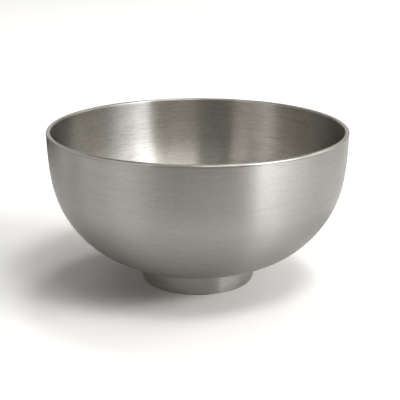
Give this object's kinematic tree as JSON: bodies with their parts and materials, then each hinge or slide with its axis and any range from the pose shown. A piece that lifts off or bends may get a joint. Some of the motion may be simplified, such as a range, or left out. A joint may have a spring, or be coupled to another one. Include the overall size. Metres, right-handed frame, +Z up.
{
  "type": "shaving bowl",
  "caption": "Round double-walled steel bowl with a narrow flat lip and a short tapered foot ring, for working up shaving lather.",
  "frame": {"origin": "centre of the circle that the foot stands on, at floor level", "axes": "+Z up the bowl's axis of symmetry; X and Y are alike"},
  "size_m": [0.12, 0.12, 0.063],
  "materials": {
    "inner_steel": "stainless steel, satin brushed in fine lines round the axis, slightly brighter on the lip",
    "outer_steel": "stainless steel, fine satin brushed round the axis",
    "foot_steel": "stainless steel, satin brushed round the axis, with softened edges",
    "plug_steel": "stainless steel, plain satin"
  },
  "bodies": {
    "root": {"inner_shell": "inner_steel", "outer_shell": "outer_steel", "foot_ring": "foot_steel", "vent_plug": "plug_steel"}
  },
  "joints": []
}
